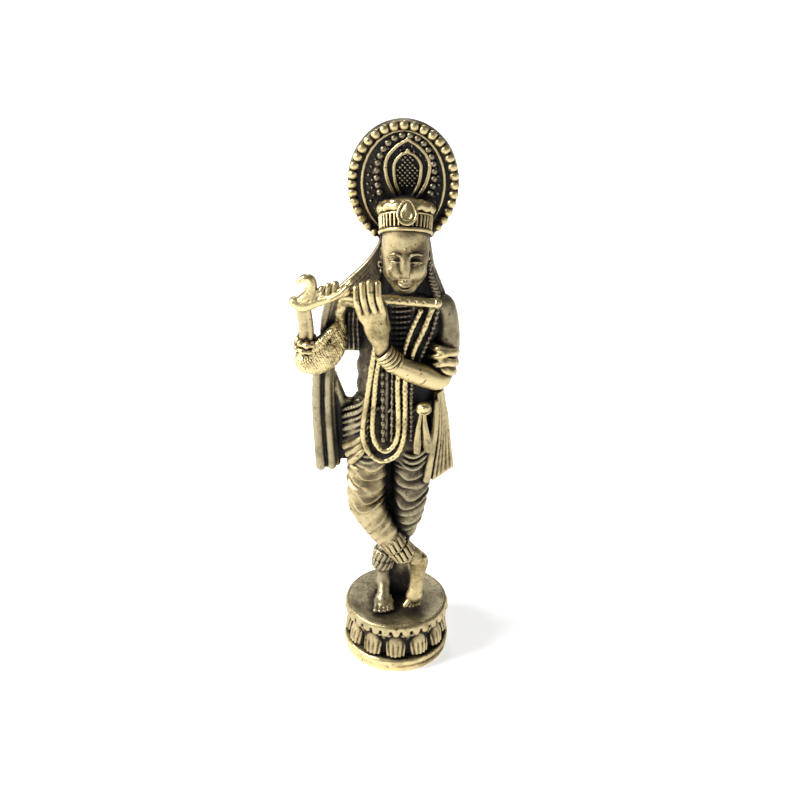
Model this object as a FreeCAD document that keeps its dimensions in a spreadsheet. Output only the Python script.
import FreeCAD, Part
import math
import os

import Sketcher
from FreeCAD import Placement, Rotation, Vector

# Miniature brass figurine: a flute player with crossed legs on a round lotus pedestal,
# with an oval halo plate behind the crown.  Millimetres, +Z up, the figure faces -Y.
# The origin is the centre of the pedestal's flat underside.
# "left" and "right" are the figure's own, so its left side is at +X.

UP = Vector(0, 0, 1)
FRONT = Vector(0, -1, 0)

# Driving sizes: name -> millimetres (or a count).
SIZES = {
    # pedestal, from the floor up
    "PedestalRadius": 5.7,
    "PedestalHeight": 6.2,
    "FootRingHeight": 1.7,
    "FootRingStep": 0.25,
    "GrooveHeight": 0.7,
    "DrumRadius": 4.75,
    "DiscRadius": 5.55,
    "DiscThickness": 1.0,
    "DiscLip": 0.4,
    "PetalCount": 12,
    "PetalHalfWidth": 1.42,
    "PetalHalfHeight": 1.35,
    "PetalDepth": 0.78,
    "LeafTipLength": 1.15,
    "LeafTipRadius": 0.5,
    "LeafBandHeight": 0.25,
    "EdgeBeadCount": 40,
    "EdgeBeadRadius": 0.44,
    # cloth, cords and ornaments
    "GarlandTube": 0.34,
    "GarlandPlane": 2.55,
    "OuterGarlandHalfWidth": 2.1,
    "OuterGarlandBend": 28.1,
    "OuterGarlandTop": 37.2,
    "InnerGarlandHalfWidth": 1.25,
    "InnerGarlandBend": 28.5,
    "InnerGarlandTop": 37.0,
    "GarlandCentre": 1.55,
    "PendantBeadRadius": 0.42,
    "PendantBeadCount": 12,
    "StrandBeadRadius": 0.4,
    "StrandBeadCount": 10,
    "NecklaceTube": 0.24,
    "NecklaceRadius": 1.9,
    "NecklaceCount": 6,
    "NecklacePitch": 0.62,
    "NecklaceDrop": 0.4,
    "NecklaceForward": 0.45,
    "BangleTube": 0.24,
    "BangleCount": 4,
    "BanglePitch": 0.42,
    "BraceletTube": 0.32,
    "FluteRadius": 0.5,
    "FluteEndRadius": 0.48,
    "BeltHeight": 0.8,
    "FingerRadius": 0.4,
    "FingertipRadius": 0.36,
    "FingerPitch": 0.74,
    "RingPitchShare": 1.7,
    "ShawlThickness": 0.8,
    "ShawlRounding": 0.3,
    "TailWebThickness": 0.6,
    "CrownTilt": 35,
    "CrownRibCount": 22,
    "CrownRibRadius": 0.17,
    "CrownRibFoot": 0.15,
    "CrownRibHead": 0.1,
    # halo
    "HaloHalfWidth": 5.45,
    "HaloHalfHeight": 6.55,
    "HaloThickness": 0.9,
    "HaloRidgeHalfWidth": 4.1,
    "HaloRidgeHalfHeight": 5.45,
    "HaloRidgeWidth": 0.42,
    "HaloRelief": 0.42,
    "HaloBeadCount": 36,
    "HaloBeadRadius": 0.5,
    "InnerBeadHalfWidth": 2.85,
    "InnerBeadHalfHeight": 4.05,
    "InnerBeadRadius": 0.34,
    "InnerBeadCount": 21,
    "InnerBeadSpread": 115,
    "InnerBeadRise": 0.75,
    "InnerBeadShift": 0.25,
    "LeafHalfWidth": 2.05,
    "LeafTop": 3.1,
    "LeafRidgeWidth": 0.42,
    "LeafGap": 0.32,
    "LatticeBumpRadius": 0.21,
    "LatticePitch": 0.52,
    "LatticeReach": 1.05,
    "LatticeTaper": 0.45,
}

# Stations on the figure: name -> (across, depth, height, half width, half depth[, half height]).
# Lofted limbs pass through their stations in turn, and balls are centred on theirs.
STATIONS = {
    "StandingAnkle": (-1.2, 0.1, 11.7, 0.95, 0.95),
    "StandingShin": (0.55, 0.1, 14.9, 1.3, 1.25),
    "StandingKnee": (1.25, -0.45, 18.6, 1.85, 1.7),
    "StandingThigh": (1.35, -0.1, 22.0, 2.15, 1.95),
    "StandingHip": (1.45, 0.1, 25.2, 2.3, 2.0),
    "CrossedAnkle": (-0.35, -1.95, 14.7, 1.1, 1.05),
    "CrossedShin": (-1.45, -1.85, 16.6, 1.45, 1.3),
    "CrossedKnee": (-3.2, -1.35, 19.4, 1.8, 1.6),
    "CrossedThigh": (-3.4, -0.75, 22.2, 2.05, 1.85),
    "CrossedHip": (-3.1, -0.2, 25.2, 2.25, 2.0),
    "StandingToes": (-1.6, -2.35, 6.62, 0.95, 0.42),
    "StandingInstep": (-1.55, -1.15, 7.15, 0.85, 0.8),
    "StandingHeel": (-1.4, 0.35, 7.0, 0.8, 0.9, 0.9),
    "StandingFootNeck": (-1.45, 0.1, 8.6, 0.7, 0.7),
    "StandingFootTop": (-1.4, 0.1, 10.6, 0.8, 0.8),
    "CrossedToes": (1.35, -2.05, 6.1, 0.72, 0.4),
    "CrossedBall": (2.0, -1.8, 8.1, 0.9, 0.65),
    "CrossedArch": (2.25, -1.65, 10.3, 0.85, 0.78),
    "CrossedHeel": (2.25, -1.5, 12.2, 0.95, 0.92),
    "CrossedFootNeck": (0.85, -1.75, 13.7, 0.8, 0.8),
    "StandingAnklet": (-1.45, 0.05, 11.4, 1.35, 1.3, 1.05),
    "CrossedAnklet": (0.1, -1.9, 14.15, 1.35, 1.3, 1.15),
    "HipLow": (-1.0, 0.0, 24.6, 4.5, 2.3),
    "HipWide": (-1.1, 0.0, 27.5, 4.8, 2.45),
    "HipHigh": (-0.6, 0.0, 31.2, 3.75, 2.2),
    "Waist": (-0.55, 0.0, 31.9, 3.6, 2.1),
    "Ribs": (-0.45, 0.0, 36.0, 3.6, 2.15),
    "Chest": (-0.2, 0.0, 40.3, 4.0, 2.3),
    "Shoulders": (0.0, 0.0, 42.8, 3.9, 1.9),
    "TorsoTop": (0.2, -0.1, 44.2, 2.3, 1.6),
    "NeckLow": (0.22, -0.35, 43.9, 1.1, 1.05),
    "NeckHigh": (0.25, -0.7, 46.4, 1.0, 1.0),
    "Head": (0.25, -0.85, 48.3, 2.27, 2.25, 3.45),
    "EarLeft": (2.62, -0.15, 46.7, 0.42, 0.5, 0.8),
    "EarRight": (-2.1, -0.15, 46.7, 0.42, 0.5, 0.8),
    "HairLeftLow": (3.85, 0.35, 43.9, 0.75, 0.5),
    "HairLeftMid": (3.1, 0.45, 46.0, 0.8, 0.6),
    "HairLeftHigh": (2.2, 0.6, 48.8, 0.9, 0.7),
    "HairRightLow": (-5.2, 0.3, 44.4, 0.85, 0.5),
    "HairRightMid": (-3.4, 0.4, 46.2, 1.0, 0.6),
    "HairRightHigh": (-1.8, 0.6, 48.9, 0.9, 0.7),
    "CrownRim": (0.24, -0.77, 50.89, 2.42, 2.42, 0.26),
    "CrownBand": (0.24, -0.74, 50.93, 2.3, 2.38, 1.6),
    "CrownRoll": (0.24, 0.49, 52.69, 2.3, 2.3, 0.52),
    "CrownDome": (0.24, 0.22, 52.1, 2.08, 2.02, 1.9),
    "Jewel": (0.24, -2.1, 53.6, 0.8, 0.42, 1.35),
    "LeftElbow": (4.7, -1.15, 34.9, 1.12, 1.12, 1.12),
    "LeftArmLow": (4.65, -0.75, 37.0, 1.15, 1.15),
    "LeftArmMid": (4.5, -0.3, 39.4, 1.12, 1.12),
    "LeftDeltoid": (4.2, 0.0, 41.6, 1.2, 1.2),
    "LeftShoulder": (3.6, 0.0, 43.1, 1.0, 0.95),
    "LeftArmlet": (4.6, -0.65, 37.7, 1.2, 1.2, 0.42),
    "LeftForearmMid": (2.3, -2.5, 36.4, 1.2, 1.15),
    "LeftWrist": (-1.0, -3.75, 38.9, 0.85, 0.8),
    "LeftBangles": (-0.55, -3.6, 38.65, 1.0, 1.0),
    "LeftPalmLow": (-1.5, -3.95, 39.9, 0.95, 0.65),
    "LeftPalmMid": (-2.35, -4.3, 42.2, 1.35, 0.7),
    "LeftKnuckles": (-2.9, -4.45, 44.6, 1.45, 0.6),
    "LeftFingertips": (-3.3, -4.35, 47.0, 1.3, 0.4),
    "RightElbowEnd": (-10.15, -2.1, 37.6, 0.6, 0.6),
    "RightElbow": (-9.2, -2.05, 37.2, 1.2, 1.2),
    "RightArmBend": (-7.7, -1.9, 37.5, 1.25, 1.25),
    "RightArmMid": (-6.5, -1.4, 39.1, 0.85, 0.8),
    "RightArmHigh": (-6.05, -0.8, 41.6, 0.62, 0.62),
    "RightShoulder": (-4.1, 0.0, 43.2, 0.85, 0.8),
    "RightBracelets": (-9.4, -2.25, 39.3, 0.95, 0.95, 0.4),
    "RightForearmLow": (-9.3, -2.1, 37.8, 0.85, 0.8),
    "RightForearmMid": (-9.3, -2.5, 41.0, 0.72, 0.6),
    "RightWrist": (-9.7, -3.1, 43.9, 0.8, 0.75),
    "RightPalmHeel": (-10.5, -3.5, 44.5, 0.75, 0.7),
    "RightPalmMid": (-8.4, -4.0, 44.9, 0.85, 0.75),
    "RightPalmEnd": (-5.6, -4.25, 45.8, 0.6, 0.55),
    "HookBase": (-9.4, -3.6, 45.3, 0.6, 0.55),
    "HookBend": (-8.95, -3.6, 46.9, 0.52, 0.5),
    "HookTop": (-9.35, -3.6, 47.75, 0.45, 0.42, 0.42),
    "HookTip": (-10.05, -3.6, 47.3, 0.32, 0.32, 0.32),
    "FluteLeftEnd": (3.8, -3.3, 44.6, 0.5, 0.5),
    "FluteRightEnd": (-7.4, -3.95, 45.8, 0.5, 0.5),
    "RightTipFirst": (-7.35, -4.35, 46.15, 0.42, 0.42, 0.42),
    "RightTipLast": (-5.6, -4.4, 46.5, 0.42, 0.42, 0.42),
    "Knot": (2.4, -2.55, 32.2, 0.78, 0.75, 0.75),
    "LongTasselTop": (2.5, -2.7, 31.2, 0.3, 0.3),
    "LongTasselEnd": (2.7, -2.75, 26.6, 0.55, 0.5),
    "ShortTasselTop": (2.15, -2.7, 31.2, 0.28, 0.28),
    "ShortTasselEnd": (1.65, -2.8, 26.5, 0.5, 0.45),
    "SashTop": (-3.2, -1.9, 30.4, 0.8, 0.6),
    "SashEnd": (-5.2, -1.0, 26.3, 1.1, 0.8),
    "LeftTailGatherInner": (3.7, -0.7, 32.0, 0.28, 0.28),
    "LeftTailGatherOuter": (4.2, 0.1, 32.2, 0.28, 0.28),
    "LeftTailHemInner": (3.15, -1.0, 22.4, 0.5, 0.5),
    "LeftTailHemOuter": (5.15, 0.2, 24.2, 0.5, 0.5),
    "RightTailGatherInner": (-6.9, -1.5, 36.3, 0.45, 0.45),
    "RightTailGatherOuter": (-8.4, -1.7, 36.3, 0.45, 0.45),
    "RightTailHemInner": (-6.85, -0.5, 24.0, 0.46, 0.46),
    "RightTailHemOuter": (-8.2, -0.9, 24.0, 0.46, 0.46),
    "ShawlHigh": (-5.6, -0.6, 44.0, 0.5, 0.4),
    "ShawlLow": (-7.6, -1.0, 39.3, 0.5, 0.4),
    "ShawlInnerHigh": (-3.4, 0.3, 43.3, 0.5, 0.4),
    "ShawlInnerLow": (-6.1, -0.5, 37.4, 0.5, 0.4),
    "TailWebLow": (-6.8, -0.6, 24.3, 0.3, 0.3),
    "TailWebHigh": (-4.9, 0.0, 31.9, 0.3, 0.3),
    "StrandHigh": (3.1, -1.75, 43.1, 0.4, 0.4),
    "StrandLow": (1.6, -2.7, 37.4, 0.4, 0.4),
    "Halo": (-0.05, 2.4, 54.9, 5.45, 0.9),
    "HaloLeaf": (0.3, 1.5, 56.7, 2.05, 0.4),
}
STATION_PARTS = ("X", "Y", "Z", "Wide", "Deep", "Tall")

doc = FreeCAD.newDocument("FlutePlayer")
sheet = doc.addObject("Spreadsheet::Sheet", "Dims")
nodes = {}
spaces = {}


def fill_sheet():
    """Writes every driving size into the spreadsheet, one aliased cell each."""
    cells = dict(SIZES)
    for station, numbers in STATIONS.items():
        for part, number in zip(STATION_PARTS, numbers):
            cells[station + part] = number
    for row, (alias, number) in enumerate(cells.items(), start=1):
        sheet.set(f"A{row}", alias)
        sheet.set(f"B{row}", str(number))
        sheet.setAlias(f"B{row}", alias)
    doc.recompute()


def value(alias):
    """A cell's number."""
    return float(sheet.get(alias))


def spot(station):
    """A station's point."""
    return Vector(value(station + "X"), value(station + "Y"), value(station + "Z"))


def make(kind, name, **cells):
    """Adds an object whose sizes are bound to cells of the sheet."""
    item = doc.addObject(kind, name)
    for prop, cell in cells.items():
        item.setExpression(prop, "Dims." + cell)
    return item


def place(item, station, rotation=Rotation()):
    """Turns an object and binds its position to a station."""
    item.Placement = Placement(spot(station), rotation)
    for axis in "xyz":
        item.setExpression("Placement.Base." + axis, f"Dims.{station}{axis.upper()}")
    return item


def node(label, item, cut_by=()):
    """Names a finished sub-part, after cutting away the neighbours that it sits against."""
    for neighbour in cut_by:
        cut = doc.addObject("Part::Cut", f"{label}_less_{neighbour}")
        cut.Base = item
        cut.Tool = spaces.get(neighbour) or nodes[neighbour]
        item = cut
    item.Label = label
    nodes[label] = item
    return item


def fused(name, items):
    """One solid from several overlapping ones."""
    item = doc.addObject("Part::MultiFuse", name)
    item.Shapes = items
    return item


def ball(name, station, rotation=Rotation()):
    """An ellipsoid at a station, with the station's half sizes."""
    item = make(
        "Part::Ellipsoid", name,
        Radius1=station + "Tall", Radius2=station + "Wide", Radius3=station + "Deep",
    )
    return place(item, station, rotation)


def loft(name, stations):
    """A smooth limb through oval sections, each square to the way the limb runs there."""
    points = [spot(station) for station in stations]
    ovals = []
    for index, station in enumerate(stations):
        ahead = points[min(index + 1, len(points) - 1)]
        behind = points[max(index - 1, 0)]
        oval = make(
            "Part::Ellipse", f"{name}_section_{index + 1}",
            MajorRadius=station + "Wide", MinorRadius=station + "Deep",
        )
        ovals.append(place(oval, station, Rotation(UP, ahead - behind)))
    item = doc.addObject("Part::Loft", name)
    item.Sections = ovals
    item.Solid = True
    return item


def taper(name, start, end, start_radius, end_radius):
    """A round tapering bar between two points, with bound end radii."""
    item = make("Part::Cone", name, Radius1=start_radius, Radius2=end_radius)
    item.Height = (end - start).Length
    item.Placement = Placement(start, Rotation(UP, end - start))
    return item


def rings(name, station, axis, count, pitch, tube):
    """Torus rings side by side along an axis, centred on a station."""
    turn = Rotation(UP, axis)
    made = []
    for index in range(count):
        ring = make("Part::Torus", f"{name}_{index + 1}", Radius1=station + "Wide", Radius2=tube)
        offset = turn.multVec(UP) * (index - (count - 1) / 2) * pitch
        ring.Placement = Placement(spot(station) + offset, turn)
        made.append(ring)
    return fused(name, made) if count > 1 else made[0]


def bead_string(name, points, radius):
    """Beads that run into each other along a line of points."""
    beads = []
    for index, point in enumerate(points):
        bead = make("Part::Sphere", f"{name}_bead_{index + 1}", Radius=radius)
        bead.Placement = Placement(point, Rotation())
        beads.append(bead)
    return fused(name, beads)


def between(start, end, count):
    """Evenly spaced points from start to end."""
    return [start + (end - start) * (index / (count - 1)) for index in range(count)]


def pleats(name, gathers, hems, gather_radius, hem_radius):
    """Hanging cloth as side-by-side pleats that widen towards the hem."""
    bars = []
    for index, (gather, hem) in enumerate(zip(gathers, hems)):
        bars.append(taper(f"{name}_pleat_{index + 1}", gather, hem, gather_radius, hem_radius))
    return fused(name, bars)


def slab_between(name, low, high, thickness):
    """Upright slab from one station to another, as thick as a cell says."""
    slab = make("Part::Box", name, Width=thickness)
    slab.setExpression("Length", f"Dims.{high}X - Dims.{low}X")
    slab.setExpression("Height", f"Dims.{high}Z - Dims.{low}Z")
    return place(slab, low)


def origin_plane(body, role):
    """One of a body's own origin planes or axes."""
    return next(item for item in body.Origin.OriginFeatures if item.Role == role)


def sketch_on(body, name, role):
    """An empty sketch on one of the body's origin planes."""
    sketch = body.newObject("Sketcher::SketchObject", name)
    sketch.AttachmentSupport = (origin_plane(body, role), [""])
    sketch.MapMode = "FlatFace"
    return sketch


def tie(sketch, kind, geometry, point, now, expression):
    """Fixes a point's distance from the sketch's origin to an expression over the cells."""
    index = sketch.addConstraint(Sketcher.Constraint(kind, -1, 1, geometry, point, now))
    sketch.setExpression(f"Constraints[{index}]", expression)


def fix_radius(sketch, geometry, cell):
    """Fixes a circle's or an arc's radius to a cell."""
    index = sketch.addConstraint(Sketcher.Constraint("Radius", geometry, value(cell)))
    sketch.setExpression(f"Constraints[{index}]", "Dims." + cell)


def outline(sketch, corners):
    """A closed polygon, with each corner tied to the sheet.

    A corner is (across, up), each an expression over the sheet's cells.
    """
    count = len(corners)
    for index in range(count):
        start = Vector(math.cos(index * math.tau / count), math.sin(index * math.tau / count), 0)
        follow = (index + 1) % count
        end = Vector(math.cos(follow * math.tau / count), math.sin(follow * math.tau / count), 0)
        sketch.addGeometry(Part.LineSegment(start, end), False)
    for index in range(count):
        follow = (index + 1) % count
        sketch.addConstraint(Sketcher.Constraint("Coincident", index, 2, follow, 1))
    for index, (across, up) in enumerate(corners):
        tie(sketch, "DistanceX", index, 1, 1.0, across)
        tie(sketch, "DistanceY", index, 1, 1.0, up)


def turned(name, corners):
    """A PartDesign body made by turning a profile about the Z axis."""
    body = doc.addObject("PartDesign::Body", name)
    profile = sketch_on(body, name + "_profile", "XZ_Plane")
    outline(profile, corners)
    turn = body.newObject("PartDesign::Revolution", name + "_turn")
    turn.Profile = profile
    turn.ReferenceAxis = (profile, ["V_Axis"])
    turn.Angle = 360
    return body


def around(body, feature, count_cell):
    """Repeats a feature evenly round the Z axis and makes it the body's tip."""
    pattern = body.newObject("PartDesign::PolarPattern", feature.Name + "_round")
    pattern.Originals = [feature]
    pattern.Axis = (origin_plane(body, "Z_Axis"), [""])
    pattern.Angle = 360
    pattern.setExpression("Occurrences", "Dims." + count_cell)
    body.Tip = pattern
    return pattern


# ---------------------------------------------------------------- pedestal

def foot_ring():
    """Flat two-step disc that the figurine stands on."""
    radius = "Dims.PedestalRadius"
    inner = "Dims.PedestalRadius - Dims.FootRingStep"
    step = "Dims.FootRingHeight / 2"
    top = "Dims.FootRingHeight"
    corners = (
        ("0.0", "0.0"), (radius, "0.0"), (radius, step),
        (inner, step), (inner, top), ("0.0", top),
    )
    return node("pedestal_foot_ring", turned("foot_ring", corners))


def drum():
    """Plain core of the pedestal, between the foot ring and the top disc."""
    low = "Dims.FootRingHeight"
    high = "Dims.PedestalHeight - Dims.DiscThickness"
    corners = (("0.0", low), ("Dims.DrumRadius", low), ("Dims.DrumRadius", high), ("0.0", high))
    return node("pedestal_drum", turned("drum", corners))


def top_disc():
    """Round slab that the feet stand on, with a lip over the bead string."""
    radius = "Dims.DiscRadius"
    seat = "Dims.DrumRadius"
    low = "Dims.PedestalHeight - Dims.DiscThickness"
    lip = "Dims.PedestalHeight - Dims.DiscLip"
    high = "Dims.PedestalHeight"
    corners = (("0.0", low), (seat, low), (seat, lip), (radius, lip), (radius, high), ("0.0", high))
    return node("pedestal_top_disc", turned("top_disc", corners))


def edge_beads():
    """String of beads round the pedestal, tucked under the top disc's lip."""
    body = doc.addObject("PartDesign::Body", "edge_beads")
    bead = body.newObject("PartDesign::AdditiveSphere", "edge_bead")
    bead.setExpression("Radius", "Dims.EdgeBeadRadius")
    bead.setExpression("Placement.Base.x", "Dims.DiscRadius - Dims.EdgeBeadRadius")
    bead.setExpression(
        "Placement.Base.z", "Dims.PedestalHeight - Dims.DiscLip - Dims.EdgeBeadRadius")
    around(body, bead, "EdgeBeadCount")
    return node("pedestal_edge_beads", body, cut_by=("pedestal_top_disc", "pedestal_drum"))


def leaf_tips():
    """Ring of small downward leaf tips that fill the gaps between the petals."""
    body = doc.addObject("PartDesign::Body", "leaf_tips")
    tip = body.newObject("PartDesign::AdditiveCone", "leaf_tip")
    tip.setExpression("Radius1", "Dims.LeafTipRadius / 8")
    tip.setExpression("Radius2", "Dims.LeafTipRadius")
    tip.setExpression("Height", "Dims.LeafTipLength")
    level = "Dims.PedestalHeight - Dims.DiscLip - 2 * Dims.EdgeBeadRadius"
    tip.setExpression("Placement.Base.x", "Dims.DrumRadius + Dims.LeafTipRadius / 4")
    tip.setExpression("Placement.Base.z", level + " - Dims.LeafTipLength")
    around(body, tip, "PetalCount")
    band = body.newObject("PartDesign::AdditiveCylinder", "leaf_band")
    band.setExpression("Radius", "Dims.DrumRadius + Dims.LeafTipRadius")
    band.setExpression("Height", "Dims.LeafBandHeight")
    band.setExpression("Placement.Base.z", level + " - Dims.LeafBandHeight")
    body.Tip = band
    half_step = Rotation(UP, 180 / value("PetalCount"))
    body.Placement = Placement(Vector(), half_step)
    return node("pedestal_leaf_tips", body,
                cut_by=("pedestal_petals", "pedestal_drum", "pedestal_edge_beads"))


def petals():
    """Ring of bulging lotus petals round the drum."""
    body = doc.addObject("PartDesign::Body", "petals")
    petal = body.newObject("PartDesign::AdditiveEllipsoid", "petal")
    petal.setExpression("Radius1", "Dims.PetalHalfHeight")
    petal.setExpression("Radius2", "Dims.PetalDepth")
    petal.setExpression("Radius3", "Dims.PetalHalfWidth")
    petal.setExpression("Placement.Base.x", "Dims.DrumRadius")
    petal.setExpression(
        "Placement.Base.z", "Dims.FootRingHeight + Dims.GrooveHeight + Dims.PetalHalfHeight")
    around(body, petal, "PetalCount")
    return node("pedestal_petals", body, cut_by=("pedestal_drum", "pedestal_edge_beads"))


# ---------------------------------------------------------------- legs and feet

def feet():
    """Standing foot, flat with its toes forward, and crossed foot, balanced on its toes."""
    standing = fused("standing_foot_solid", [
        loft("standing_sole", ["StandingToes", "StandingInstep", "StandingFootNeck"]),
        ball("standing_heel", "StandingHeel"),
        loft("standing_foot_neck", ["StandingFootNeck", "StandingFootTop"]),
    ])
    node("standing_foot", standing, cut_by=("pedestal_top_disc",))
    crossed = loft("crossed_foot_solid", [
        "CrossedToes", "CrossedBall", "CrossedArch", "CrossedHeel", "CrossedFootNeck"])
    node("crossed_foot", crossed, cut_by=("pedestal_top_disc",))


def legs():
    """Two cloth-wrapped legs; the right one crosses in front of the left."""
    standing = loft("standing_leg_solid", [
        "StandingAnkle", "StandingShin", "StandingKnee", "StandingThigh", "StandingHip"])
    node("standing_leg", standing, cut_by=("hip_wrap", "standing_foot"))
    crossed = loft("crossed_leg_solid", [
        "CrossedAnkle", "CrossedShin", "CrossedKnee", "CrossedThigh", "CrossedHip"])
    node("crossed_leg", crossed, cut_by=("hip_wrap", "standing_leg", "crossed_foot"))


def anklets():
    """Two fat twisted-rope anklets."""
    node("standing_anklet", ball("standing_anklet_solid", "StandingAnklet"),
         cut_by=("standing_leg", "standing_foot"))
    slope = Rotation(UP, spot("CrossedAnkle") - spot("CrossedFootNeck"))
    node("crossed_anklet", ball("crossed_anklet_solid", "CrossedAnklet", slope),
         cut_by=("crossed_leg", "crossed_foot", "standing_leg", "standing_anklet"))


# ---------------------------------------------------------------- hips and torso

def hips():
    """Wrapped cloth round the hips."""
    node("hip_wrap", loft("hip_wrap_solid", ["HipLow", "HipWide", "HipHigh"]))


def torso():
    """Bare trunk from the waist to the shoulders."""
    trunk = loft("torso_solid", ["Waist", "Ribs", "Chest", "Shoulders", "TorsoTop"])
    node("torso", trunk, cut_by=("hip_wrap",))


def belt():
    """Flat cord round the waist."""
    oval = make("Part::Ellipse", "belt_oval", MajorRadius="HipHighWide", MinorRadius="HipHighDeep")
    place(oval, "HipHigh")
    band = doc.addObject("Part::Extrusion", "belt_band")
    band.Base = oval
    band.DirMode = "Custom"
    band.Dir = UP
    band.setExpression("LengthFwd", "Dims.BeltHeight")
    band.Solid = True
    node("belt", band, cut_by=("torso", "hip_wrap"))


def sash():
    """Pleated sash end that lies down over the right hip."""
    node("sash", loft("sash_solid", ["SashEnd", "SashTop"]), cut_by=("hip_wrap", "crossed_leg"))


def garland(label, half_width, bend, top, cut_by):
    """Long U-shaped garland tube that hangs in front of the trunk."""
    body = doc.addObject("PartDesign::Body", label + "_body")
    path = sketch_on(body, label + "_path", "XZ_Plane")
    path.setExpression("AttachmentOffset.Base.z", "Dims.GarlandPlane")
    reach = value(half_width)
    centre = -value("GarlandCentre")
    low = value(bend)
    high = value(top)
    left_top = Vector(centre - reach, high, 0)
    left_low = Vector(centre - reach, low, 0)
    right_low = Vector(centre + reach, low, 0)
    right_top = Vector(centre + reach, high, 0)
    path.addGeometry(Part.LineSegment(left_top, left_low), False)
    arc_circle = Part.Circle(Vector(centre, low, 0), UP, reach)
    path.addGeometry(Part.ArcOfCircle(arc_circle, math.pi, math.tau), False)
    path.addGeometry(Part.LineSegment(right_low, right_top), False)
    path.addConstraint(Sketcher.Constraint("Coincident", 0, 2, 1, 1))
    path.addConstraint(Sketcher.Constraint("Coincident", 1, 2, 2, 1))
    left = f"-Dims.GarlandCentre - Dims.{half_width}"
    right = f"-Dims.GarlandCentre + Dims.{half_width}"
    for geometry, point, corner, across, up in (
            (0, 1, left_top, left, top), (0, 2, left_low, left, bend),
            (2, 1, right_low, right, bend), (2, 2, right_top, right, top)):
        tie(path, "DistanceX", geometry, point, corner.x, across)
        tie(path, "DistanceY", geometry, point, corner.y, "Dims." + up)
    tie(path, "DistanceY", 1, 3, low, "Dims." + bend)

    section = sketch_on(body, label + "_section", "XY_Plane")
    section.setExpression("AttachmentOffset.Base.z", "Dims." + top)
    centre_of_tube = Vector(left_top.x, -value("GarlandPlane"), 0)
    section.addGeometry(Part.Circle(centre_of_tube, UP, value("GarlandTube")), False)
    tie(section, "DistanceX", 0, 3, centre_of_tube.x, left)
    tie(section, "DistanceY", 0, 3, centre_of_tube.y, "-Dims.GarlandPlane")
    fix_radius(section, 0, "GarlandTube")
    doc.recompute()

    tube = body.newObject("PartDesign::AdditivePipe", label + "_tube")
    tube.Profile = section
    tube.Spine = path
    return node(label, body, cut_by)


def garlands():
    """Outer and inner garland, with a line of pendant beads inside."""
    garland("garland_outer", "OuterGarlandHalfWidth", "OuterGarlandBend", "OuterGarlandTop",
            ("hip_wrap", "torso", "belt", "crossed_leg", "standing_leg"))
    garland("garland_inner", "InnerGarlandHalfWidth", "InnerGarlandBend", "InnerGarlandTop",
            ("hip_wrap", "torso", "belt"))
    low = Vector(-value("GarlandCentre"), -value("GarlandPlane"), value("InnerGarlandBend"))
    high = Vector(low.x, low.y, value("InnerGarlandTop"))
    pendant = bead_string("pendant_beads_solid", between(low, high, int(value("PendantBeadCount"))),
                          "PendantBeadRadius")
    node("pendant_beads", pendant, cut_by=("hip_wrap", "torso", "belt", "garland_inner"))


def necklaces():
    """Stack of close necklaces that ring the upper chest."""
    count = int(value("NecklaceCount"))
    pitch = value("NecklacePitch")
    top = spot("NeckLow") + FRONT * value("NecklaceForward") - UP * value("NecklaceDrop")
    strands = []
    for index in range(count):
        strand = make(
            "Part::Torus", f"necklace_{index + 1}",
            Radius1="NecklaceRadius", Radius2="NecklaceTube")
        strand.Placement = Placement(top - UP * index * pitch, Rotation())
        strands.append(strand)
    bib = make("Part::Cylinder", "necklace_bib", Radius="NecklaceRadius")
    bib.Height = (count - 1) * pitch
    bib.Placement = Placement(top - UP * (count - 1) * pitch, Rotation())
    stack = fused("necklaces_solid", strands + [bib])
    node("necklaces", stack, cut_by=("torso",))


def strand():
    """Bead strand from the left shoulder down to the garlands."""
    points = between(spot("StrandLow"), spot("StrandHigh"), int(value("StrandBeadCount")))
    node("shoulder_strand", bead_string("shoulder_strand_solid", points, "StrandBeadRadius"),
         cut_by=("torso", "necklaces", "left_upper_arm"))


def tassels():
    """Knot at the left of the waist with two club-shaped tassels."""
    node("tassel_knot", ball("knot_ball", "Knot"), cut_by=("hip_wrap", "belt", "torso"))
    for label, top, end in (
            ("tassel_long", "LongTasselTop", "LongTasselEnd"),
            ("tassel_short", "ShortTasselTop", "ShortTasselEnd")):
        club = taper(label + "_club", spot(end), spot(top), end + "Wide", top + "Wide")
        tip = make("Part::Sphere", label + "_tip", Radius=end + "Wide")
        place(tip, end)
        cuts = ["tassel_knot", "hip_wrap", "belt", "garland_outer"]
        if label == "tassel_short":
            cuts.append("tassel_long")
        node(label, fused(label + "_solid", [club, tip]), cut_by=cuts)


# ---------------------------------------------------------------- hanging cloth

def tails():
    """Fan-shaped scarf tail on the left and long straight tail on the right."""
    fan_gathers = between(spot("LeftTailGatherInner"), spot("LeftTailGatherOuter"), 4)
    fan_hems = between(spot("LeftTailHemInner"), spot("LeftTailHemOuter"), 4)
    fan = pleats("left_tail_solid", fan_gathers, fan_hems, "LeftTailGatherInnerWide",
                 "LeftTailHemInnerWide")
    node("left_scarf_tail", fan, cut_by=("hip_wrap", "belt", "standing_leg"))
    gathers = between(spot("RightTailGatherInner"), spot("RightTailGatherOuter"), 4)
    hems = between(spot("RightTailHemInner"), spot("RightTailHemOuter"), 4)
    fall = pleats("right_tail_pleats", gathers, hems, "RightTailGatherInnerWide",
                  "RightTailHemInnerWide")
    web = slab_between("tail_web", "TailWebLow", "TailWebHigh", "TailWebThickness")
    node("right_scarf_tail", fused("right_tail_solid", [fall, web]),
         cut_by=("hip_wrap", "belt", "sash", "crossed_leg", "right_upper_arm"))


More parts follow.
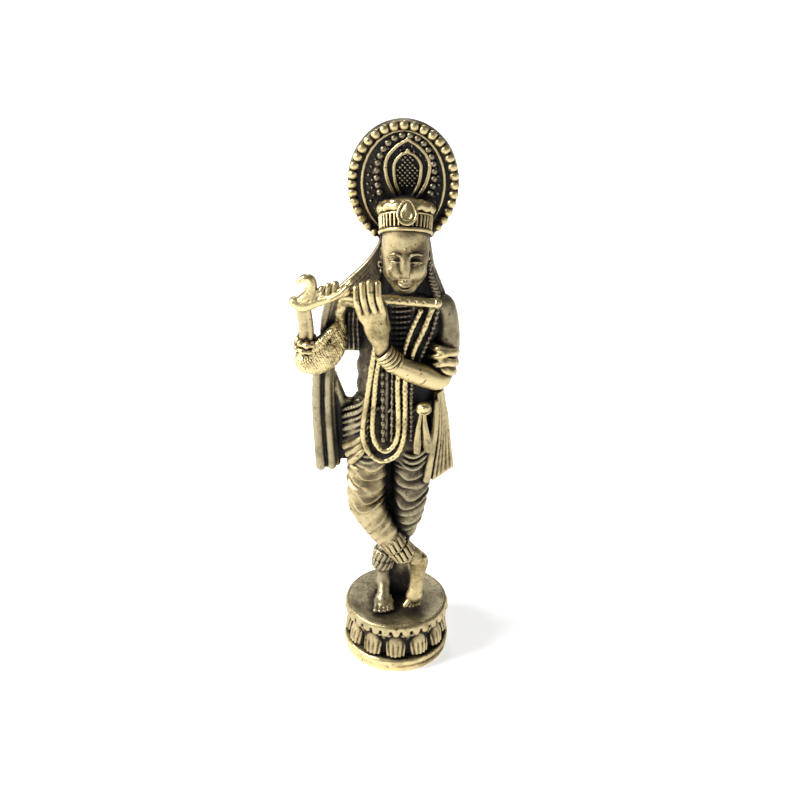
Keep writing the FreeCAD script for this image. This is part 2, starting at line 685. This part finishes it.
def shawl():
    """Folds of the shawl behind the raised right arm, and the web from there to the trunk."""
    slab = slab_between("shawl_slab", "ShawlLow", "ShawlHigh", "ShawlThickness")
    rounded = doc.addObject("Part::Fillet", "shawl_rounded")
    rounded.Base = slab
    doc.recompute()
    soft = value("ShawlRounding")
    rounded.Edges = [(index + 1, soft, soft) for index in range(len(slab.Shape.Edges))]
    web = slab_between("shawl_web", "ShawlInnerLow", "ShawlInnerHigh", "ShawlThickness")
    node("shawl_fold", fused("shawl_solid", [rounded, web]), cut_by=("right_upper_arm", "torso"))


# ---------------------------------------------------------------- arms

def left_arm():
    """Left arm: bent across the chest, with an armlet and a row of wrist bangles."""
    upper = fused("left_upper_arm_solid", [
        loft("left_upper_arm_loft", [
            "LeftElbow", "LeftArmLow", "LeftArmMid", "LeftDeltoid", "LeftShoulder"]),
        ball("left_elbow", "LeftElbow"),
    ])
    node("left_upper_arm", upper, cut_by=("torso",))
    strand()
    fore = loft("left_forearm_solid", ["LeftElbow", "LeftForearmMid", "LeftWrist"])
    node("left_forearm", fore,
         cut_by=("left_upper_arm", "torso", "garland_outer", "garland_inner", "shoulder_strand"))
    band = rings("left_armlet_rings", "LeftArmlet", spot("LeftArmMid") - spot("LeftArmLow"),
                 2, value("RingPitchShare") * value("LeftArmletTall"), "LeftArmletTall")
    node("left_armlet", band, cut_by=("left_upper_arm", "torso"))
    along = spot("LeftWrist") - spot("LeftForearmMid")
    bangles = rings("left_bangle_rings", "LeftBangles", along,
                    int(value("BangleCount")), value("BanglePitch"), "BangleTube")
    node("left_bangles", bangles, cut_by=("left_forearm",))


def left_hand():
    """Left hand over the flute, back of the hand forward, four fingers up."""
    parts = [loft("left_palm", ["LeftPalmLow", "LeftPalmMid", "LeftKnuckles"])]
    for index in range(4):
        across = Vector((index - 1.5) * value("FingerPitch"), 0, 0)
        root = spot("LeftKnuckles") + across
        tip = spot("LeftFingertips") + across
        parts.append(taper(f"left_finger_{index + 1}", root - UP * value("FingerRadius"), tip,
                           "FingerRadius", "FingertipRadius"))
        end = make("Part::Sphere", f"left_fingertip_{index + 1}", Radius="FingertipRadius")
        end.Placement = Placement(tip, Rotation())
        parts.append(end)
    node("left_hand", fused("left_hand_solid", parts),
         cut_by=("flute", "left_forearm", "left_bangles"))


def right_arm():
    """Right arm: elbow out, forearm straight up, with bracelets and the flute hand."""
    upper = loft("right_upper_arm_solid", [
        "RightElbowEnd", "RightElbow", "RightArmBend", "RightArmMid", "RightArmHigh",
        "RightShoulder"])
    node("right_upper_arm", upper, cut_by=("torso",))
    fore = loft("right_forearm_solid", ["RightForearmLow", "RightForearmMid", "RightWrist"])
    node("right_forearm", fore, cut_by=("right_upper_arm",))
    bands = rings("right_bracelet_rings", "RightBracelets",
                  spot("RightForearmMid") - spot("RightForearmLow"),
                  2, value("RingPitchShare") * value("BraceletTube"), "BraceletTube")
    node("right_bracelets", bands, cut_by=("right_forearm", "right_upper_arm"))


def right_hand():
    """Right hand along the flute, one finger raised in a hook."""
    parts = [
        loft("right_palm", ["RightPalmHeel", "RightPalmMid", "RightPalmEnd"]),
        taper("hook_low", spot("HookBase"), spot("HookBend"), "HookBaseWide", "HookBendWide"),
        taper("hook_high", spot("HookBend"), spot("HookTop"), "HookBendWide", "HookTopWide"),
        ball("hook_top", "HookTop"),
        taper("hook_turn", spot("HookTop"), spot("HookTip"), "HookTopWide", "HookTipWide"),
        ball("hook_tip", "HookTip"),
    ]
    for index, point in enumerate(between(spot("RightTipFirst"), spot("RightTipLast"), 3)):
        tip = make("Part::Sphere", f"right_fingertip_{index + 1}", Radius="RightTipFirstWide")
        tip.Placement = Placement(point, Rotation())
        parts.append(tip)
    node("right_hand", fused("right_hand_solid", parts), cut_by=("flute", "right_forearm"))


def flute():
    """Side-blown flute: a straight round rod from the right hand past the left shoulder."""
    rod = taper("flute_rod", spot("FluteRightEnd"), spot("FluteLeftEnd"),
                "FluteEndRadius", "FluteRadius")
    node("flute", rod)


# ---------------------------------------------------------------- head and crown

def neck_and_head():
    """Neck, and the head with a brow that fills the crown's foot."""
    brow = make("Part::Sphere", "brow", Radius="CrownBandWide")
    place(brow, "CrownBand")
    node("head", fused("head_solid", [ball("face", "Head"), brow]),
         cut_by=("crown_band", "crown_rim", "crown_dome", "halo_space"))
    node("neck", loft("neck_solid", ["NeckLow", "NeckHigh"]), cut_by=("head", "torso"))


def hair():
    """Veil of hair that falls from each temple to the shoulder, and the ear ornaments."""
    shared = ("head", "torso", "crown_rim", "crown_band", "halo_space")
    node("left_ear_ornament", ball("left_ear", "EarLeft"))
    node("right_ear_ornament", ball("right_ear", "EarRight"))
    shared += ("left_ear_ornament", "right_ear_ornament")
    left = loft("left_hair_solid", ["HairLeftLow", "HairLeftMid", "HairLeftHigh"])
    node("left_hair", left, cut_by=shared + ("left_upper_arm",))
    right = loft("right_hair_solid", ["HairRightLow", "HairRightMid", "HairRightHigh"])
    node("right_hair", right, cut_by=shared + ("right_upper_arm", "shawl_fold"))


def crown():
    """Crown in three tiers, with a teardrop jewel at the front and a low dome inside."""
    tip_back = Rotation(Vector(1, 0, 0), -value("CrownTilt"))
    cone = make("Part::Cone", "crown_cone", Radius1="CrownBandWide", Radius2="CrownBandDeep",
                Height="CrownBandTall")
    place(cone, "CrownBand", tip_back)
    ribs = [cone]
    count = int(value("CrownRibCount"))
    for index in range(count):
        angle = index * math.tau / count
        out = Vector(math.cos(angle), math.sin(angle), 0)
        low = spot("CrownBand") + tip_back.multVec(
            out * value("CrownBandWide") + UP * value("CrownRibFoot"))
        high = spot("CrownBand") + tip_back.multVec(
            out * value("CrownBandDeep") + UP * (value("CrownBandTall") - value("CrownRibHead")))
        ribs.append(taper(f"crown_rib_{index + 1}", low, high, "CrownRibRadius", "CrownRibRadius"))
    node("crown_band", fused("crown_band_solid", ribs), cut_by=("halo_space",))
    rim = make("Part::Torus", "crown_rim_ring", Radius1="CrownRimWide", Radius2="CrownRimTall")
    place(rim, "CrownRim", tip_back)
    node("crown_rim", rim, cut_by=("crown_band", "halo_space"))

    roll = make("Part::Torus", "crown_roll_ring", Radius1="CrownRollWide", Radius2="CrownRollTall")
    place(roll, "CrownRoll", tip_back)
    node("crown_roll", roll, cut_by=("crown_band", "halo_space"))
    dome = ball("crown_dome_cap", "CrownDome", tip_back)
    dome.Angle1 = 0
    node("crown_dome", dome, cut_by=("crown_roll", "halo_space"))
    node("crown_jewel", ball("jewel_drop", "Jewel", tip_back),
         cut_by=("crown_roll", "crown_band"))


# ---------------------------------------------------------------- halo

FACING = Rotation(Vector(0, 0, 1), Vector(-1, 0, 0), FRONT, "XYZ")


def oval_slab(name, half_width, half_height, thickness, setback=Vector()):
    """Upright oval plate that faces forward from the halo's back plane."""
    oval = make("Part::Ellipse", name + "_oval", MajorRadius=half_height, MinorRadius=half_width)
    oval.Placement = Placement(spot("Halo") + setback, FACING)
    slab = doc.addObject("Part::Extrusion", name)
    slab.Base = oval
    slab.DirMode = "Custom"
    slab.Dir = FRONT
    slab.setExpression("LengthFwd", thickness)
    slab.Solid = True
    return slab


def halo_front():
    """Offset from the halo's back plane to its front face."""
    return FRONT * value("HaloThickness")


def on_halo(half_width, half_height, angle):
    """Point on an oval of the halo's front face, with the angle measured from the top."""
    centre = spot("Halo") + halo_front()
    return centre + Vector(half_width * math.sin(angle), 0, half_height * math.cos(angle))


def halo_plate():
    """Oval plate behind the crown, and the space behind its face that other pieces keep out of."""
    plate = oval_slab("halo_plate_slab", "HaloHalfWidth", "HaloHalfHeight", "Dims.HaloThickness")
    node("halo_plate", plate)
    behind = make("Part::Box", "halo_space", Width="HaloHalfWidth")
    behind.setExpression("Length", "2 * Dims.HaloHalfWidth")
    behind.setExpression("Height", "2 * Dims.HaloHalfHeight")
    corner = Vector(value("HaloHalfWidth"), 0, value("HaloHalfHeight"))
    behind.Placement = Placement(spot("Halo") + halo_front() - corner, Rotation())
    spaces["halo_space"] = behind


def halo_beads():
    """Row of beads round the rim and an arch of smaller beads round the leaf."""
    radius = value("HaloBeadRadius")
    half_width = value("HaloHalfWidth") - radius
    half_height = value("HaloHalfHeight") - radius
    count = int(value("HaloBeadCount"))
    rim = []
    for index in range(count):
        rim.append(on_halo(half_width, half_height, index * math.tau / count))
    node("halo_rim_beads", bead_string("halo_rim_solid", rim, "HaloBeadRadius"),
         cut_by=("halo_plate", "crown_band", "crown_roll", "crown_rim", "head"))
    count = int(value("InnerBeadCount"))
    spread = math.radians(value("InnerBeadSpread"))
    shift = UP * value("InnerBeadRise") + Vector(value("InnerBeadShift"), 0, 0)
    arch = []
    for index in range(count):
        angle = spread * (2 * index / (count - 1) - 1)
        point = on_halo(value("InnerBeadHalfWidth"), value("InnerBeadHalfHeight"), angle)
        arch.append(point + shift)
    node("halo_inner_beads", bead_string("halo_arch_solid", arch, "InnerBeadRadius"),
         cut_by=("halo_plate", "crown_roll", "crown_dome"))


def halo_ridge():
    """Raised oval line between the two rows of beads."""
    outer = oval_slab("halo_ridge_outer", "HaloRidgeHalfWidth", "HaloRidgeHalfHeight",
                      "Dims.HaloRelief", halo_front())
    inner = make("Part::Ellipse", "halo_ridge_inner_oval")
    inner.setExpression("MajorRadius", "Dims.HaloRidgeHalfHeight - Dims.HaloRidgeWidth")
    inner.setExpression("MinorRadius", "Dims.HaloRidgeHalfWidth - Dims.HaloRidgeWidth")
    inner.Placement = Placement(spot("Halo") + halo_front(), FACING)
    window = doc.addObject("Part::Extrusion", "halo_ridge_window")
    window.Base = inner
    window.DirMode = "Custom"
    window.Dir = FRONT
    window.setExpression("LengthFwd", "Dims.HaloRelief")
    window.Solid = True
    ring = doc.addObject("Part::Cut", "halo_ridge_ring")
    ring.Base = outer
    ring.Tool = window
    node("halo_ridge", ring, cut_by=("crown_band", "crown_roll", "crown_rim", "head",
                                     "halo_rim_beads", "halo_inner_beads"))


def leaf_face(half_width, height):
    """Flat pointed-leaf outline: two curved sides that meet in a point at the top."""
    centre = spot("HaloLeaf")
    tip = centre + UP * height
    foot = centre - UP * height
    right_side = Part.Arc(tip, centre + Vector(half_width, 0, 0), foot)
    left_side = Part.Arc(foot, centre - Vector(half_width, 0, 0), tip)
    return Part.Face(Part.Wire([right_side.toShape(), left_side.toShape()]))


def leaf_solid(name, half_width, height, relief):
    """Leaf outline raised from the halo's face."""
    item = doc.addObject("Part::Feature", name)
    item.Shape = leaf_face(half_width, height).extrude(FRONT * relief)
    return item


def halo_leaf():
    """Two nested pointed-leaf ridges and the lattice of bumps inside them."""
    relief = value("HaloRelief")
    width = value("LeafHalfWidth")
    height = value("LeafTop")
    ridge = value("LeafRidgeWidth")
    gap = value("LeafGap")
    outlines = []
    for index, inset in enumerate((0.0, ridge, ridge + gap, 2 * ridge + gap)):
        scale = (width - inset) / width
        outlines.append(
            leaf_solid(f"leaf_outline_{index + 1}", width - inset, height * scale, relief))
    crown_side = ("crown_roll", "crown_dome", "crown_band")
    for label, outer, inner in (("halo_leaf_outer", 0, 1), ("halo_leaf_inner", 2, 3)):
        ring = doc.addObject("Part::Cut", label + "_ring")
        ring.Base = outlines[outer]
        ring.Tool = outlines[inner]
        node(label, ring, cut_by=crown_side + ("halo_inner_beads",))
    base = leaf_solid("lattice_base", outlines[3].Shape.BoundBox.XLength / 2,
                      outlines[3].Shape.BoundBox.ZLength / 2, relief / 2)
    bumps = [base]
    pitch = value("LatticePitch")
    for row in range(-3, 5):
        for column in (-1, 0, 1):
            shift = Vector((column + 0.5 * (row % 2)) * pitch, -relief / 2, row * pitch)
            inside = abs(shift.x) + abs(shift.z) * value("LatticeTaper") < value("LatticeReach")
            if inside:
                bump = make("Part::Sphere", f"bump_{row + 4}_{column + 2}",
                            Radius="LatticeBumpRadius")
                bump.Placement = Placement(spot("HaloLeaf") + shift, Rotation())
                bumps.append(bump)
    node("halo_lattice", fused("lattice_solid", bumps),
         cut_by=crown_side + ("halo_leaf_inner",))


# ---------------------------------------------------------------- whole figurine

def build():
    """Builds every sub-part, inner ones first, so that outer ones can be cut to them."""
    fill_sheet()
    foot_ring()
    drum()
    top_disc()
    edge_beads()
    petals()
    leaf_tips()
    feet()
    hips()
    legs()
    anklets()
    torso()
    belt()
    sash()
    garlands()
    halo_plate()
    crown()
    neck_and_head()
    necklaces()
    tassels()
    right_arm()
    tails()
    shawl()
    left_arm()
    flute()
    left_hand()
    right_hand()
    hair()
    halo_beads()
    halo_ridge()
    halo_leaf()
    doc.recompute()


def check():
    """Stops if any object failed or any sub-part has no sound shape."""
    faults = []
    for item in doc.findObjects("Part::MultiFuse"):
        if item.Shape.isNull():
            faults.append(f"{item.Name} is empty")
        elif item.Shape.Volume < 0.999 * max(piece.Shape.Volume for piece in item.Shapes):
            faults.append(f"{item.Name} lost material")
    for item in doc.findObjects("Part::Cut"):
        if item.Shape.isNull():
            faults.append(f"{item.Name} is empty")
        elif not 0 < item.Shape.Volume <= 1.001 * item.Base.Shape.Volume:
            faults.append(f"{item.Name} gained material or vanished")
    for item in doc.Objects:
        if "Invalid" in item.State or "Error" in item.State:
            faults.append(f"{item.Name} is {item.State}")
    for label, item in nodes.items():
        if item.Shape.isNull() or not item.Shape.isValid() or item.Shape.Volume <= 0:
            faults.append(f"{label} has no sound shape")
    if faults:
        raise RuntimeError("\n".join(faults))


def export():
    """Writes each sub-part's solids to its own STEP file."""
    os.makedirs("parts", exist_ok=True)
    for label, item in nodes.items():
        item.Shape.exportStep(f"parts/{label}.step")


build()
check()
export()
